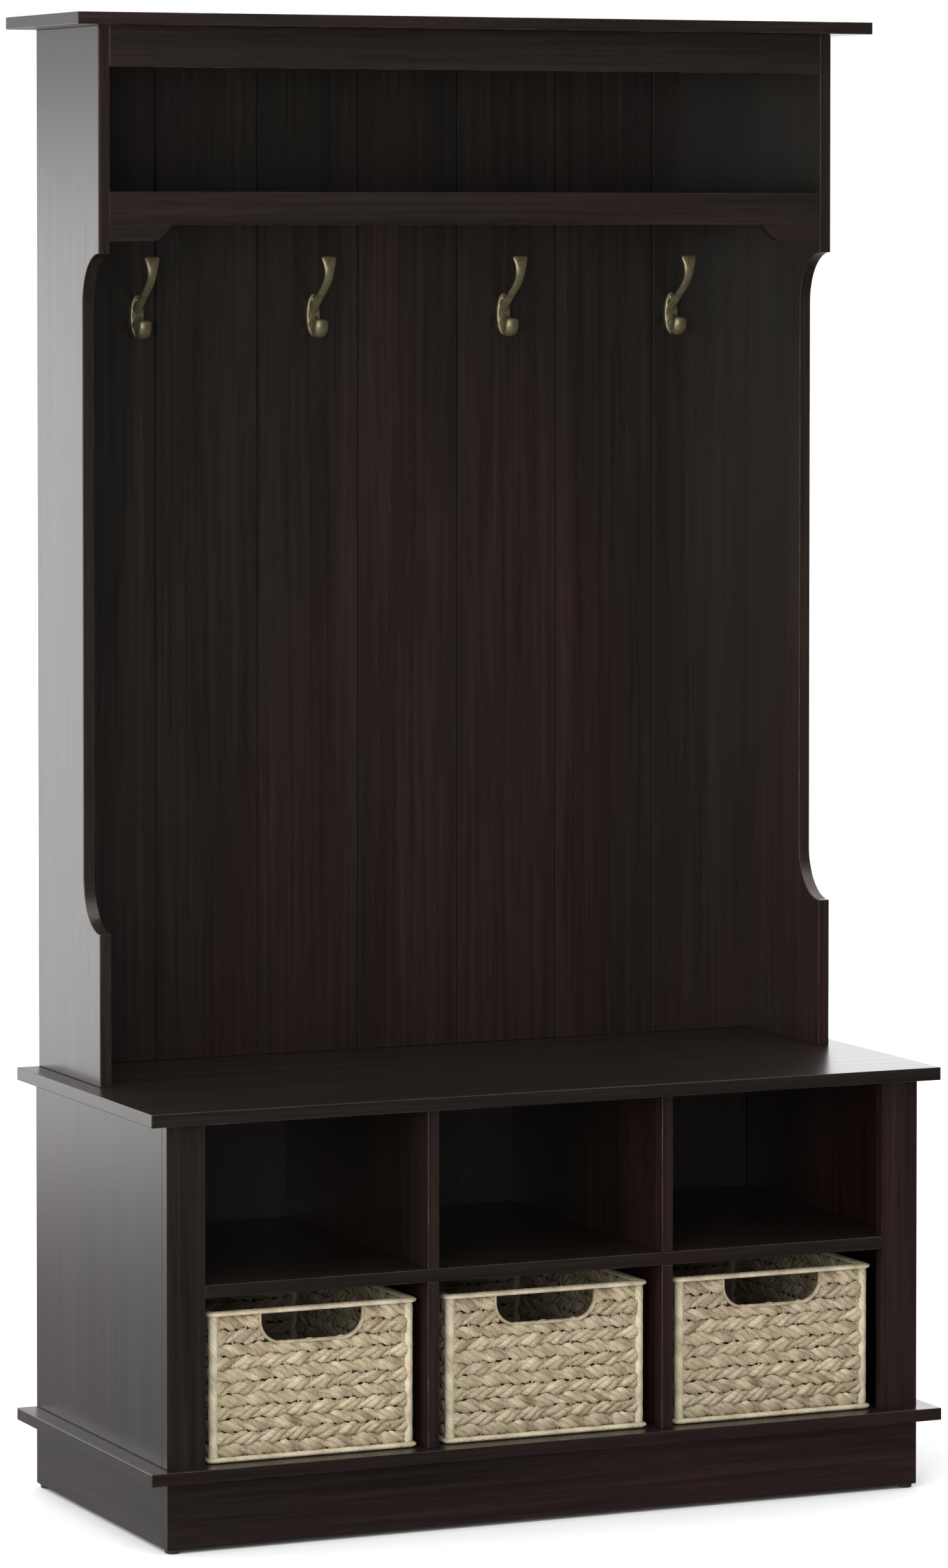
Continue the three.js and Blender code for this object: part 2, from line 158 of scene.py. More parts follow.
# ---- materials ----
class Material:
    """A node material around one Principled shader, with short calls for what the finishes need."""

    def __init__(self, name, roughness, metallic=0.0):
        self.material = bpy.data.materials.new(name)
        self.material.use_nodes = True
        self.tree = self.material.node_tree
        self.shader = self.tree.nodes["Principled BSDF"]
        self.shader.inputs["Roughness"].default_value = roughness
        self.shader.inputs["Metallic"].default_value = metallic

    def node(self, kind, **settings):
        made = self.tree.nodes.new(kind)
        for key, value in settings.items():
            setattr(made, key, value)
        return made

    def feed(self, node, socket, value):
        if isinstance(value, bpy.types.NodeSocket):
            self.tree.links.new(value, node.inputs[socket])
        else:
            node.inputs[socket].default_value = value

    def set(self, socket, value):
        self.feed(self.shader, socket, value)

    def place(self, scale=(1, 1, 1), uv=False):
        """Coordinates in metres on the object, or along and round a strand, stretched by scale."""
        source = self.node("ShaderNodeTexCoord").outputs["UV" if uv else "Object"]
        mapping = self.node("ShaderNodeMapping")
        self.feed(mapping, "Vector", source)
        mapping.inputs["Scale"].default_value = scale
        return mapping.outputs[0]

    def noise(self, scale, detail=3.0, roughness=0.55, at=None, distortion=0.0):
        made = self.node("ShaderNodeTexNoise")
        self.feed(made, "Vector", at if at is not None else self.place())
        self.feed(made, "Scale", scale)
        self.feed(made, "Detail", detail)
        self.feed(made, "Roughness", roughness)
        self.feed(made, "Distortion", distortion)
        return made.outputs["Fac"]

    def math(self, operation, a, b):
        made = self.node("ShaderNodeMath", operation=operation)
        self.feed(made, 0, a)
        self.feed(made, 1, b)
        return made.outputs[0]

    def spread(self, value, low, high, to_low=0.0, to_high=1.0):
        made = self.node("ShaderNodeMapRange")
        self.feed(made, "Value", value)
        self.feed(made, "From Min", low)
        self.feed(made, "From Max", high)
        self.feed(made, "To Min", to_low)
        self.feed(made, "To Max", to_high)
        return made.outputs[0]

    def ramp(self, value, stops):
        made = self.node("ShaderNodeValToRGB")
        self.feed(made, 0, value)
        elements = made.color_ramp.elements
        while len(elements) < len(stops):
            elements.new(0.5)
        for element, (position, colour) in zip(elements, stops):
            element.position = position
            element.color = (*colour, 1)
        return made.outputs[0]

    def mix(self, factor, a, b, blend="MIX"):
        made = self.node("ShaderNodeMix", data_type="RGBA", blend_type=blend)
        sockets = [s for s in made.inputs if s.enabled]
        for socket, value in zip(sockets, (factor, a, b)):
            if isinstance(value, bpy.types.NodeSocket):
                self.tree.links.new(value, socket)
            else:
                socket.default_value = (*value, 1) if isinstance(value, tuple) else value
        return [s for s in made.outputs if s.enabled][0]

    def bump(self, height, strength, distance):
        made = self.node("ShaderNodeBump")
        self.feed(made, "Height", height)
        self.feed(made, "Strength", strength)
        self.feed(made, "Distance", distance)
        self.set("Normal", made.outputs[0])


def along(axis, across, lengthwise):
    """Scales that stretch a pattern along one axis: across is how fine it is side to side."""
    return tuple(lengthwise if i == axis else across for i in range(3))


def espresso(axis):
    """Dark espresso stain under satin lacquer, its grain running along one axis."""
    made = Material(f"espresso_grain_{'xyz'[axis]}", roughness=0.3)
    tone = made.noise(1.0, 2.0, 0.5, made.place(along(axis, 2.8, 0.7)), 0.4)
    bands = made.noise(1.0, 2.0, 0.5, made.place(along(axis, 24, 1.1)), 0.6)
    streaks = made.noise(1.0, 4.0, 0.65, made.place(along(axis, 150, 3.0)), 0.3)
    pores = made.noise(1.0, 3.0, 0.6, made.place(along(axis, 850, 24)))
    figure = made.math("ADD", made.math("MULTIPLY", bands, 0.40), made.math("MULTIPLY", streaks, 0.60))
    olive = made.ramp(figure, [
        (0.34, (0.0062, 0.0045, 0.0031)),
        (0.50, (0.0102, 0.0076, 0.0052)),
        (0.68, (0.0162, 0.0120, 0.0084)),
    ])
    red = made.ramp(figure, [
        (0.34, (0.0095, 0.0040, 0.0037)),
        (0.50, (0.0158, 0.0068, 0.0064)),
        (0.68, (0.0262, 0.0118, 0.0106)),
    ])
    stain = made.mix(made.spread(tone, 0.40, 0.60), olive, red)
    dark_pores = made.spread(pores, 0.32, 0.46, 0.60, 1.0)
    made.set("Base Color", made.mix(dark_pores, (0.0030, 0.0022, 0.0020), stain))
    made.set("Roughness", made.spread(made.math("ADD", streaks, pores), 0.6, 1.4, 0.26, 0.34))
    made.bump(made.math("ADD", made.math("MULTIPLY", streaks, 0.5), pores), 0.15, 0.0002)
    return made.material


def espresso_edge_wear_and_highlight():
    """The eased edges, lighter than the faces: the stain rubbed a little thinner, and a painted highlight along them.
    """
    made = Material("espresso_worn_and_highlit_edge", roughness=0.36)
    rubbed_and_highlit = made.noise(26.0, 4.0, 0.65)
    # painted highlight: these edge colours run far lighter than the boards' faces, more than rubbed stain alone would
    # give
    made.set("Base Color", made.ramp(rubbed_and_highlit, [
        (0.42, (0.011, 0.006, 0.0055)),
        (0.62, (0.030, 0.016, 0.013)),
        (0.76, (0.075, 0.042, 0.030)),
    ]))
    made.set("Roughness", made.spread(rubbed_and_highlit, 0.3, 0.7, 0.28, 0.42))
    made.bump(made.noise(400.0, 2.0), 0.2, 0.0002)
    return made.material


def espresso_groove_stain_and_shade():
    """The V grooves between the planks, darker: stain pooled and thin lacquer, and painted shade in the recess."""
    made = Material("espresso_groove_stain_and_shade", roughness=0.75)
    pooled_stain_and_shade = made.noise(1.0, 3.0, 0.6, made.place(along(2, 300, 6)))
    # painted shade: the grooves' colour sits well under the planks', partly pooled stain
    made.set("Base Color", made.ramp(pooled_stain_and_shade, [(0.35, (0.0040, 0.0030, 0.0026)), (0.65, (0.0085, 0.0060, 0.0054))]))
    made.set("Roughness", made.spread(pooled_stain_and_shade, 0.3, 0.7, 0.68, 0.85))
    made.set("Specular IOR Level", 0.25)
    made.bump(pooled_stain_and_shade, 0.3, 0.0002)
    return made.material


def antique_brass():
    """Brushed brass with brown patina in its hollows and rubbed bright on its high places."""
    made = Material("antique_brass", roughness=0.45, metallic=0.75)
    cloud = made.noise(90.0, 5.0, 0.62)
    shape = made.node("ShaderNodeNewGeometry").outputs["Pointiness"]
    worn = made.spread(shape, 0.46, 0.56)
    patina = made.ramp(made.math("ADD", made.math("MULTIPLY", cloud, 0.55), made.math("MULTIPLY", worn, 0.45)), [
        (0.30, (0.090, 0.072, 0.042)),
        (0.48, (0.205, 0.178, 0.098)),
        (0.66, (0.340, 0.300, 0.175)),
    ])
    made.set("Base Color", patina)
    made.set("Roughness", made.spread(cloud, 0.3, 0.7, 0.34, 0.54))
    made.bump(made.noise(1500.0, 2.0), 0.12, 0.0001)
    return made.material


def moulded_plastic():
    made = Material("glide_plastic", roughness=0.5)
    grain = made.noise(1800.0, 2.0)
    made.set("Base Color", made.ramp(made.noise(60.0), [(0.3, (0.018, 0.018, 0.019)), (0.7, (0.030, 0.030, 0.031))]))
    made.set("Roughness", made.spread(grain, 0.3, 0.7, 0.42, 0.6))
    made.bump(grain, 0.3, 0.0001)
    return made.material


def straw(name, dark, middle, light, twist):
    """Dried seagrass: fibres that run along a strand and wind round it, each strand a little different."""
    made = Material(name, roughness=0.72)
    length = made.node("ShaderNodeSeparateXYZ")
    made.feed(length, 0, made.place(uv=True))
    wound = made.math("ADD", length.outputs["Y"], made.math("MULTIPLY", length.outputs["X"], twist))
    lie = made.node("ShaderNodeCombineXYZ")
    made.feed(lie, "X", made.math("MULTIPLY", length.outputs["X"], 45.0))
    made.feed(lie, "Y", made.math("MULTIPLY", wound, 11.0))
    fibres = made.noise(1.0, 4.0, 0.6, lie.outputs[0], 0.2)
    blotch = made.noise(55.0, 3.0, 0.6)
    tint = made.node("ShaderNodeAttribute", attribute_name="tint").outputs["Fac"]
    tone = made.math("ADD", made.math("MULTIPLY", fibres, 0.50), made.math("MULTIPLY", blotch, 0.25))
    tone = made.math("ADD", tone, made.math("MULTIPLY", tint, 0.25))
    colour = made.ramp(tone, [(0.34, dark), (0.50, middle), (0.66, light)])
    dye = made.ramp(made.noise(24.0, 2.0), [
        (0.36, (0.97, 1.0, 0.93)),
        (0.50, (1.0, 1.0, 1.0)),
        (0.64, (1.0, 0.96, 0.95)),
    ])
    made.set("Base Color", made.mix(1.0, colour, dye, "MULTIPLY"))
    made.set("Roughness", made.spread(fibres, 0.3, 0.7, 0.62, 0.85))
    made.bump(fibres, 0.75, 0.0009)
    return made.material


# ---- carried-over boards ----
EASED = 0.0009                  # radius of the boards' eased edges
GLIDE_EASED = 0.0006
SHARP = math.radians(28)        # edges that turn more than this are eased
GROOVE_SLANT = (0.2, 0.95)      # how far to the side a groove face's normal leans

# The axis that each board's grain runs along.
GRAIN = {0: ["plinth_front", "plinth_back", "base_board", "middle_shelf", "bench_top", "top_rail", "high_shelf",
             "shelf_fascia", "hutch_top"],
         1: ["plinth_side_left", "plinth_side_right"],
         2: ["bench_side_left", "bench_side_right", "face_stile_left", "face_stile_right", "bench_back_panel",
             "upper_divider_left", "upper_divider_right", "lower_divider_left", "lower_divider_right",
             "hutch_side_left", "hutch_side_right", "hutch_back_panel"]}


def ease_edges(piece, radius, edge_slot=-1):
    weld = piece.modifiers.new("weld", "WELD")
    weld.merge_threshold = 0.00001
    bevel = piece.modifiers.new("eased_edges", "BEVEL")
    bevel.width = radius
    bevel.segments = 2
    bevel.limit_method = "ANGLE"
    bevel.angle_limit = SHARP
    bevel.material = edge_slot


def darken_grooves():
    """Gives the slanted faces of the planked back's grooves a finish of their own."""
    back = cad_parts["hutch_back_panel"]
    # slot 1 also holds the eased edges, so the back's edges and grooves both get this darker finish: pooled stain and
    # painted shade
    back.data.materials[1] = espresso_groove_stain_and_shade()
    for face in back.data.polygons:
        if GROOVE_SLANT[0] < abs(face.normal.x) < GROOVE_SLANT[1]:
            face.material_index = 1


def finish_boards():
    edge = espresso_edge_wear_and_highlight()
    for axis, names in GRAIN.items():
        wood = espresso(axis)
        for name in names:
            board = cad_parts[name]
            board.data.materials.clear()
            board.data.materials.append(wood)
            # slot 1 is the eased edges' lighter finish: wear and a painted highlight
            board.data.materials.append(edge)
            ease_edges(board, EASED, edge_slot=1)
    darken_grooves()


def finish_glides():
    plastic = moulded_plastic()
    for name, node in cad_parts.items():
        if name.startswith("glide_"):
            node.data.materials.clear()
            node.data.materials.append(plastic)
            ease_edges(node, GLIDE_EASED)


# ---- meshes made of swept strands ----
class Strands:
    """Collects tubes into one mesh, with a coordinate along and round each and a tint of its own."""

    def __init__(self, around):
        self.around = around
        self.points, self.faces, self.uvs, self.tints = [], [], [], []
        self.count = 0

    def add(self, centres, side, up, half_side, half_up, closed, tint, lobes=0, turn=0.0, depth=0.0, start=0.0):
        """One tube. side and up are unit vectors across it; lobes ridges wind round it, a full turn in turn metres."""
        n, k = len(centres), self.around
        steps = np.linalg.norm(np.diff(centres, axis=0), axis=1)
        length = np.concatenate([[0], np.cumsum(steps)])
        total = length[-1] + (np.linalg.norm(centres[0] - centres[-1]) if closed else 0)
        angle = np.linspace(0, 2 * math.pi, k, endpoint=False)[None, :]
        swell = np.ones((n, k))
        if lobes:
            turns = round(total * lobes / turn) / lobes if closed else total / turn
            swell += depth * np.cos(lobes * (angle - 2 * math.pi * turns * (length / total)[:, None]))
        ring = (np.cos(angle) * swell * half_side[:, None])[..., None] * side[:, None, :]
        ring = ring + (np.sin(angle) * swell * half_up[:, None])[..., None] * up[:, None, :]
        self.points.append((centres[:, None, :] + ring).reshape(-1, 3))
        self.tints.append(np.broadcast_to(np.asarray(tint, float).reshape(-1, 1), (n, k)).reshape(-1))
        base = self.count
        self.count += n * k
        rows = n if closed else n - 1
        for i in range(rows):
            j = (i + 1) % n
            a, b = base + i * k, base + j * k
            u0 = start + length[i]
            u1 = start + (total if j == 0 else length[j])
            for m in range(k):
                o = (m + 1) % k
                self.faces.append((a + m, b + m, b + o, a + o))
                v0, v1 = m / k, (m + 1) / k
                self.uvs.append(((u0, v0), (u1, v0), (u1, v1), (u0, v1)))
        if not closed:
            for i, order in ((0, 1), (n - 1, -1)):
                cap = tuple(base + i * k + m for m in range(k))[::order]
                self.faces.append(cap)
                self.uvs.append(tuple((start + length[i], m / k) for m in range(k))[::order])

    def mesh(self, name):
        mesh = bpy.data.meshes.new(name)
        mesh.from_pydata(np.concatenate(self.points).tolist(), [], self.faces)
        layer = mesh.uv_layers.new(name="strand")
        layer.data.foreach_set("uv", [c for face in self.uvs for pair in face for c in pair])
        tint = mesh.attributes.new("tint", "FLOAT", "POINT")
        tint.data.foreach_set("value", np.concatenate(self.tints))
        mesh.polygons.foreach_set("use_smooth", [True] * len(mesh.polygons))
        mesh.update()
        return mesh


class Loop:
    """A rounded rectangle, measured by the distance run round it from the middle of its front."""

    def __init__(self, half_x, half_y, radius):
        self.half_x, self.half_y, self.radius = half_x, half_y, radius
        straight_x, straight_y = 2 * (half_x - radius), 2 * (half_y - radius)
        corner = math.pi * radius / 2
        self.parts = [straight_x / 2, corner, straight_y, corner, straight_x, corner, straight_y, corner,
                      straight_x / 2]
        self.length = sum(self.parts)

    def at(self, distance):
        """(points, outward normals) at an array of distances."""
        s = np.mod(distance, self.length)
        inner_x, inner_y, r = self.half_x - self.radius, self.half_y - self.radius, self.radius
        ends = np.cumsum(self.parts)
        starts = ends - np.array(self.parts)
        index = np.clip(np.searchsorted(ends, s, side="right"), 0, 8)
        t = s - starts[index]
        points = np.zeros((len(s), 2))
        normals = np.zeros((len(s), 2))
        straight = {0: ((0, -self.half_y), (1, 0), (0, -1)), 2: ((self.half_x, -inner_y), (0, 1), (1, 0)),
                    4: ((inner_x, self.half_y), (-1, 0), (0, 1)), 6: ((-self.half_x, inner_y), (0, -1), (-1, 0)),
                    8: ((-inner_x, -self.half_y), (1, 0), (0, -1))}
        turns = {1: ((inner_x, -inner_y), -math.pi / 2), 3: ((inner_x, inner_y), 0.0),
                 5: ((-inner_x, inner_y), math.pi / 2), 7: ((-inner_x, -inner_y), math.pi)}
        for i, (origin, direction, normal) in straight.items():
            on = index == i
            points[on] = np.array(origin) + t[on, None] * np.array(direction)
            normals[on] = normal
        for i, (centre, angle) in turns.items():
            on = index == i
            a = angle + t[on] / r
            normals[on] = np.stack([np.cos(a), np.sin(a)], 1)
            points[on] = np.array(centre) + r * normals[on]
        return points, normals


def wander(random, n, knots, amount, closed=True):
    """Smooth random wandering with about the given number of knots, n samples."""
    values = random.normal(0, amount, knots)
    values = np.append(values, values[0] if closed else random.normal(0, amount))
    x = np.linspace(0, knots, n, endpoint=not closed)
    i = np.floor(x).astype(int).clip(0, knots - 1)
    f = x - i
    f = f * f * (3 - 2 * f)
    return values[i] * (1 - f) + values[i + 1] * f


def flat_frames(points, normals, z):
    """Centres at height z with outward and upward unit vectors."""
    n = len(points)
    centres = np.column_stack([points, z])
    outward = np.column_stack([normals, np.zeros(n)])
    upward = np.tile([0.0, 0.0, 1.0], (n, 1))
    return centres, outward, upward


# ---- woven baskets, drawn about the middle of their bottom ----
ROWS_BELOW = 9             # rows of weaving under the hand hole
ROWS_BESIDE = 2            # and beside it
STAKES = 72                # round the wall
STAKE_RADIUS = 0.0014
WALL_INSET = 0.0092        # from the rim's outside to the middle of the wall
WEAVE_DEPTH = 0.0014       # how far a row swings in front of one stake and behind the next
TWIST = 0.044              # length in which a row's three plies turn once round each other
PLY_HALF_HEIGHT = 0.0048
PLY_HALF_THICK = 0.0021
PLY_RISE = 0.0038          # how far a ply wanders up and down in its row
PLY_DEPTH = 0.0011         # and in and out
DRAWN_ROW = 0.015          # the row height that the plies' sizes are given for
ROW_WANDER = 0.0004        # how far a row strays from its level
WALL_CORNER = 0.006        # radius of the wall's corners
WALL_LAP = 0.0005          # how far the wall runs up into the rim band
WALL_DIP = 0.0006          # and down into the base band
BRAID_HALF = 0.0033        # half the height of the rim and base bands
ROPE_HALF_HEIGHT = BRAID_HALF * 0.98
ROPE_INSET = 0.0003        # from the basket's full width to the rope
ROPE_CORNER = 0.004
ROPE_TWIST = 0.024         # length in which a rope turns once
RIM_HALF_DEPTH = 0.0063
BASE_HALF_DEPTH = 0.0060
CORNER_RADIUS = 0.0059     # of the upright corner ropes
CORNER_INSET = 0.0016      # from the middle of the wall in to theirs
SEWN_LAP = 0.001           # how far the corner ropes and the hand hole's band run into the bands they meet
HOLE_HALF = 0.065          # half the hand hole's width
HOLE_HEIGHT = 0.0343
HOLE_CORNER = 0.026
BINDING_HALF = 0.0021      # half the height of the band sewn round the hand hole
BINDING_HALF_DEPTH = 0.0044
BOTTOM_ROWS = 30
BOTTOM_INSET = 0.010
BOTTOM_LEVEL = 0.0056      # height of the bottom's strands
BOTTOM_SWING = 0.0011      # how far they rise over one stake and dip under the next
BOTTOM_STAKE_PITCH = 0.026
STAKE_FOOT = 0.004         # height at which the wall's stakes begin


def basket_sizes():
    low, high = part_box("basket_centre_rim")
    base_low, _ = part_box("basket_centre_base_braid")
    return {"half_x": (high.x - low.x) / 2, "half_y": (high.y - low.y) / 2,
            "rim_bottom": low.z - base_low.z, "height": high.z - base_low.z}


def hole_half_width(z, low, half, radius):
    """Half the hand hole's width at height z: straight sides with rounded lower corners."""
    if z < low:
        return 0.0
    if z >= low + radius:
        return half
    return half - radius + math.sqrt(max(radius ** 2 - (low + radius - z) ** 2, 0.0))


def woven_row(strands, wall, row, z, height, hole_low, random):
    """Three plies twisted into a soft rope that swings in front of one stake and behind the next."""
    n = 400
    s = np.linspace(0, wall.length, n, endpoint=False)
    points, normals = wall.at(s)
    front = np.cos(math.pi * (s * STAKES / wall.length + row))
    size = height / DRAWN_ROW
    lift = wander(random, n, STAKES // 2, ROW_WANDER)
    turns = round(wall.length / TWIST) + int(random.integers(-2, 3))
    slip = wander(random, n, turns, 0.09) + random.uniform(0, 1)
    lean = 1 if row % 2 else -1
    aside = np.minimum(s, wall.length - s)
    for ply in range(3):
        turn = 2 * math.pi * (turns * s / wall.length + slip + ply / 3)
        plump = 1 + wander(random, n, turns * 2, 0.09)
        out = WEAVE_DEPTH * front + PLY_DEPTH * np.cos(turn)
        level = z + lift + PLY_RISE * size * np.sin(turn) * lean * (1 + 0.14 * front)
        centres, outward, upward = flat_frames(points + normals * out[:, None], normals, level)
        tint = 0.5 + random.normal(0, 0.05) + wander(random, n, turns * 2, 0.20)
        whole = z < hole_low
        keep = np.arange(n)
        if not whole:
            low, half, corner = hole_low - BINDING_HALF, HOLE_HALF + BINDING_HALF, HOLE_CORNER + BINDING_HALF
            cut = [a < hole_half_width(v, low, half, corner) for a, v in zip(aside, level)]
            inside = np.nonzero(cut)[0]
            keep = np.arange(inside[inside < n // 2].max() + 1, inside[inside > n // 2].min())
        strands.add(centres[keep], outward[keep], upward[keep], PLY_HALF_THICK * plump[keep],
                    PLY_HALF_HEIGHT * size * (plump * (1 + 0.12 * front))[keep], whole, tint[keep],
                    start=row * 1.37 + ply * 0.7)


def woven_wall(size):
    """The wall's rows and stakes, and the bottom, in one mesh."""
    random = np.random.default_rng(11)
    wall = Loop(size["half_x"] - WALL_INSET, size["half_y"] - WALL_INSET, WALL_CORNER)
    bottom, top = 2 * BRAID_HALF - WALL_DIP, size["rim_bottom"] + WALL_LAP
    hole_low = size["rim_bottom"] - HOLE_HEIGHT
    strands = Strands(around=6)
    below, beside = (hole_low - bottom) / ROWS_BELOW, (top - hole_low) / ROWS_BESIDE
    for row in range(ROWS_BELOW):
        woven_row(strands, wall, row, bottom + below * (row + 0.5), below, hole_low, random)
    for row in range(ROWS_BESIDE):
        woven_row(strands, wall, ROWS_BELOW + row, hole_low + beside * (row + 0.5), beside, hole_low, random)
    for k in range(STAKES):
        s = wall.length / STAKES * k
        point, normal = wall.at(np.array([s, s]))
        aside = min(s, wall.length - s)
        stop = hole_low if aside < HOLE_HALF else top
        centres, outward, upward = flat_frames(point, normal, np.array([STAKE_FOOT, stop]))
        radius = np.full(2, STAKE_RADIUS)
        strands.add(centres, outward, np.cross(upward, outward), radius, radius, False, 0.4)
    woven_bottom(strands, size, random)
    return strands.mesh("basket_weave")


def woven_bottom(strands, size, random):
    """Strands from side to side over stakes that run from front to back."""
    half_x, half_y = size["half_x"] - BOTTOM_INSET, size["half_y"] - BOTTOM_INSET
    pitch = 2 * half_y / BOTTOM_ROWS
    n = 40
    x = np.linspace(-half_x, half_x, n)
    forward = np.tile([0.0, 1.0, 0.0], (n, 1))
    upward = np.tile([0.0, 0.0, 1.0], (n, 1))
    half_side = np.full(n, pitch * 0.49)
    half_up = np.full(n, PLY_HALF_THICK * 0.8)
    for row in range(BOTTOM_ROWS):
        y = -half_y + pitch * (row + 0.5)
        z = BOTTOM_LEVEL + BOTTOM_SWING * np.cos(math.pi * x / BOTTOM_STAKE_PITCH + math.pi * row)
        centres = np.column_stack([x, np.full(n, y) + wander(random, n, 8, ROW_WANDER, False), z])
        tint = 0.4 + random.normal(0, 0.25)
        strands.add(centres, forward, upward, half_side, half_up, False, tint, start=row * 0.9)


def rope_loop(name, size, z, half_depth):
    """A twisted rope that runs round the basket at height z, just inside the basket's full width."""
    random = np.random.default_rng(5)
    inset = ROPE_INSET
    loop = Loop(size["half_x"] - inset - half_depth, size["half_y"] - inset - half_depth, ROPE_CORNER)
    strands = Strands(around=14)
    n = 640
    points, normals = loop.at(np.linspace(0, loop.length, n, endpoint=False))
    centres, outward, upward = flat_frames(points, normals, np.full(n, z))
    strands.add(centres, outward, upward, np.full(n, half_depth), np.full(n, ROPE_HALF_HEIGHT), True,
                0.6 + wander(random, n, 120, 0.22), lobes=3, turn=ROPE_TWIST, depth=0.05)
    return strands.mesh(name)


def corner_ropes(size):
    """The smooth upright binding at each corner."""
    random = np.random.default_rng(6)
    strands = Strands(around=12)
    n = 60
    z = np.linspace(2 * BRAID_HALF - SEWN_LAP, size["rim_bottom"] + SEWN_LAP, n)
    across = np.tile([1.0, 0.0, 0.0], (n, 1))
    deep = np.tile([0.0, 1.0, 0.0], (n, 1))
    for sx in (-1, 1):
        for sy in (-1, 1):
            x = sx * (size["half_x"] - WALL_INSET - CORNER_INSET)
            y = sy * (size["half_y"] - WALL_INSET - CORNER_INSET)
            centres = np.column_stack([np.full(n, x), np.full(n, y), z])
            radius = CORNER_RADIUS * (1 + wander(random, n, 16, 0.03, False))
            strands.add(centres, across, deep, radius, radius, False,
                        0.6 + wander(random, n, 14, 0.15, False))
    return strands.mesh("corner_ropes")


def hand_hole_binding(size):
    """The band sewn round the hand hole's sides and lower edge."""
    random = np.random.default_rng(7)
    half = BINDING_HALF
    top = size["rim_bottom"] + SEWN_LAP
    low = size["rim_bottom"] - HOLE_HEIGHT - half
    width, radius = HOLE_HALF + half, HOLE_CORNER + half
    path = [(-width, top), (-width, (top + low + radius) / 2)]
    bends = 12
    for i in range(bends):
        a = math.pi + math.pi / 2 * i / (bends - 1)
        path.append((-width + radius + radius * math.cos(a), low + radius + radius * math.sin(a)))
    path += [(-x, z) for x, z in reversed(path)]
    path = np.array(path)
    run = np.concatenate([[0], np.cumsum(np.linalg.norm(np.diff(path, axis=0), axis=1))])
    n = 110
    at = np.linspace(0, run[-1], n)
    x, z = np.interp(at, run, path[:, 0]), np.interp(at, run, path[:, 1])
    ahead = np.gradient(np.column_stack([x, z]), axis=0)
    ahead /= np.linalg.norm(ahead, axis=1)[:, None]
    centres = np.column_stack([x, np.full(n, -(size["half_y"] - WALL_INSET)), z])
    outward = np.tile([0.0, -1.0, 0.0], (n, 1))
    inward = np.column_stack([-ahead[:, 1], np.zeros(n), ahead[:, 0]])
    strands = Strands(around=12)
    strands.add(centres, outward, inward, np.full(n, BINDING_HALF_DEPTH), np.full(n, half), False,
                0.5 + wander(random, n, 20, 0.2, False))
    return strands.mesh("hand_hole_binding")


def make_baskets():
    """Draws each mesh once and sets it in all three baskets."""
    size = basket_sizes()
    rope_level = BRAID_HALF * 1.02
    weave = straw("seagrass_weave", (0.170, 0.127, 0.073), (0.328, 0.268, 0.176), (0.495, 0.422, 0.298), 28.0)
    rope = straw("seagrass_rope", (0.25, 0.202, 0.130), (0.415, 0.355, 0.250), (0.56, 0.495, 0.370), 22.0)
    shapes = [
        ("weave", woven_wall(size), weave, "seagrass", ("body",)),
        ("rim_rope", rope_loop("rim_rope", size, size["height"] - rope_level, RIM_HALF_DEPTH), rope, "braid",
         ("rim",)),
        ("base_rope", rope_loop("base_rope", size, rope_level, BASE_HALF_DEPTH), rope, "braid", ("base_braid",)),
        ("corner_ropes", corner_ropes(size), rope, "braid", ()),
        ("hand_hole_binding", hand_hole_binding(size), weave, "seagrass", ()),
    ]
    for side in ("left", "centre", "right"):
        low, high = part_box(f"basket_{side}_rim")
        floor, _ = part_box(f"basket_{side}_base_braid")
        place = ((low.x + high.x) / 2, (low.y + high.y) / 2, floor.z)
        for name, mesh, material, slot, nodes in shapes:
            if not mesh.materials:
                mesh.materials.append(material)
            piece = bpy.data.objects.new(f"basket_{side}_{name}", mesh)
            bpy.context.scene.collection.objects.link(piece)
            piece.location = place
            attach(piece, f"basket_{side}")
            if nodes:
                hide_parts(*[f"basket_{side}_{node}" for node in nodes])


# ---- coat hooks, drawn about the middle of the plate's back: -Y is out from the wall ----
PLATE_HALF_WIDTH = 0.009
PLATE_HALF_HEIGHT = 0.027
PLATE_THICK = 0.004
PRONG_TIP = 0.55        # length of the rounded tip, in rows
CAST_VOXEL = 0.0007
SCREW_GAP = 0.0001      # the heads are set this much further out than the CAD screws

# Each row: out from the wall, height, half the width, half the thickness, in millimetres.
UPPER_PRONG = [(1, 6, 5.6, 4.4), (8, 12, 5.7, 4.3), (17, 18.5, 5.5, 4.0), (28, 26, 5.3, 3.8), (40, 34, 5.3, 3.7),
               (50, 43, 5.5, 3.5), (55.2, 53, 6.2, 3.2), (56.2, 62.5, 7.6, 2.9), (54.8, 70.5, 9.8, 2.7),
               (53.4, 74.6, 10.0, 1.9)]
LOWER_PRONG = [(1, -3, 5.8, 4.4), (6, -11, 6.1, 4.3), (11, -18.5, 6.8, 4.3), (17.5, -23.4, 7.8, 4.6),
               (24.5, -22.5, 8.6, 5.1), (29, -16.5, 9.0, 5.5), (30, -9.5, 8.6, 5.2), (29.6, -4.5, 7.2, 3.8)]


